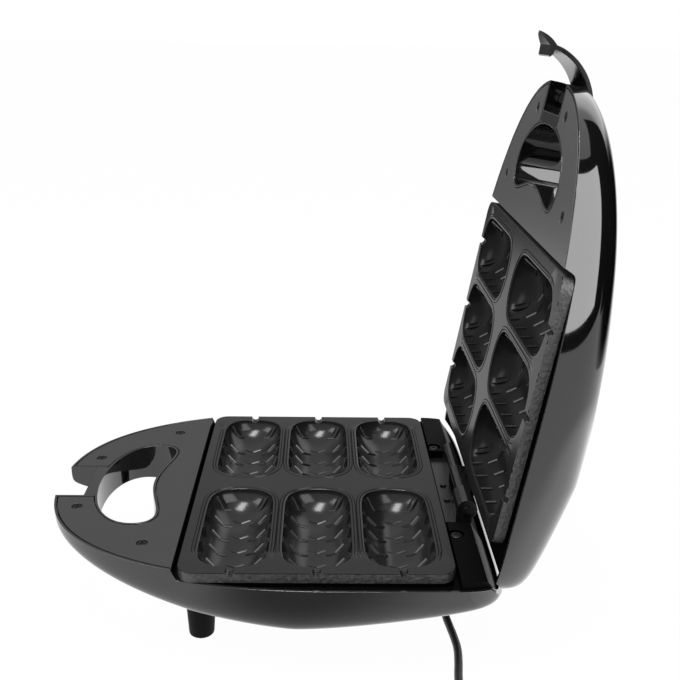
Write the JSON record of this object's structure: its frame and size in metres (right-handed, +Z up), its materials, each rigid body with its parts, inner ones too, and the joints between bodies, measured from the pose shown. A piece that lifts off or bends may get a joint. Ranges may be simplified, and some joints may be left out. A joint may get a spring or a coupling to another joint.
{
  "type": "corn dog maker",
  "caption": "Countertop clamshell cooker with cavities for battered sausages on sticks, a rear hinge, a nose latch and a handle frame on each half.",
  "frame": {"origin": "on the table under the middle of the machine as it stands open, measured without its cord", "axes": "+Z up, +X from the handle towards the hinge, +Y towards the far long side"},
  "size_m": [0.3212, 0.3172, 0.3434],
  "materials": {
    "shell": "glossy black moulded plastic",
    "base_cover": "fine matte dark grey plastic",
    "lid_cover": "fine matte dark grey plastic",
    "frame": "satin black plastic",
    "plate": "cast aluminium with a dark non-stick coating",
    "heater": "dull steel sheath",
    "bare_steel": "plain steel",
    "dark_screw": "blackened steel",
    "hinge": "black painted steel",
    "ceramic": "unglazed heat-proof body",
    "foot": "black rubber",
    "cord": "black flexible jacket",
    "plug_pin": "nickel plated",
    "red_lens": "red translucent plastic",
    "green_lens": "green translucent plastic",
    "latch": "satin black plastic"
  },
  "bodies": {
    "base": {"base_shell": "shell", "base_handle_cover": "base_cover", "base_cover_screw_1": "dark_screw", "base_cover_screw_2": "dark_screw", "base_cover_screw_3": "dark_screw", "base_cover_screw_4": "dark_screw", "base_frame": "frame", "base_frame_screw_1": "dark_screw", "base_frame_screw_2": "dark_screw", "base_plate": "plate", "base_heater": "heater", "base_heater_clamp": "bare_steel", "base_clamp_screw": "bare_steel", "base_hinge_leaf": "hinge", "base_hinge_screw_1": "bare_steel", "base_hinge_screw_2": "bare_steel", "thermostat": "ceramic", "thermal_fuse": "bare_steel", "terminal_block": "ceramic", "hinge_pin": "bare_steel", "front_foot_near": "foot", "front_foot_far": "foot", "rear_foot_near": "foot", "rear_foot_far": "foot", "strain_relief": "cord", "cord": "cord", "cord_coil": "cord", "cord_tail": "cord", "plug": "cord", "plug_pin_1": "plug_pin", "plug_pin_2": "plug_pin"},
    "lid": {"lid_shell": "shell", "lid_handle_cover": "lid_cover", "lid_cover_screw_1": "dark_screw", "lid_cover_screw_2": "dark_screw", "lid_cover_screw_3": "dark_screw", "lid_cover_screw_4": "dark_screw", "lid_frame": "frame", "lid_frame_screw_1": "dark_screw", "lid_frame_screw_2": "dark_screw", "lid_plate": "plate", "lid_heater": "heater", "lid_heater_clamp": "bare_steel", "lid_clamp_screw": "bare_steel", "lid_hinge_leaf": "hinge", "lid_hinge_screw_1": "bare_steel", "lid_hinge_screw_2": "bare_steel", "power_lens": "red_lens", "ready_lens": "green_lens", "latch_pin": "bare_steel"},
    "latch": {"latch": "latch"}
  },
  "joints": [
    {"name": "lid_hinge", "type": "hinge", "parent": "base", "child": "lid", "pos_m": [0.09245, 0, 0.0665], "axis": [0, 1, 0], "range_deg": [-99.86, 0]},
    {"name": "latch_hinge", "type": "hinge", "parent": "lid", "child": "latch", "pos_m": [0.146, 0, 0.30455], "axis": [0, 1, 0], "range_deg": [-62, 0]}
  ]
}
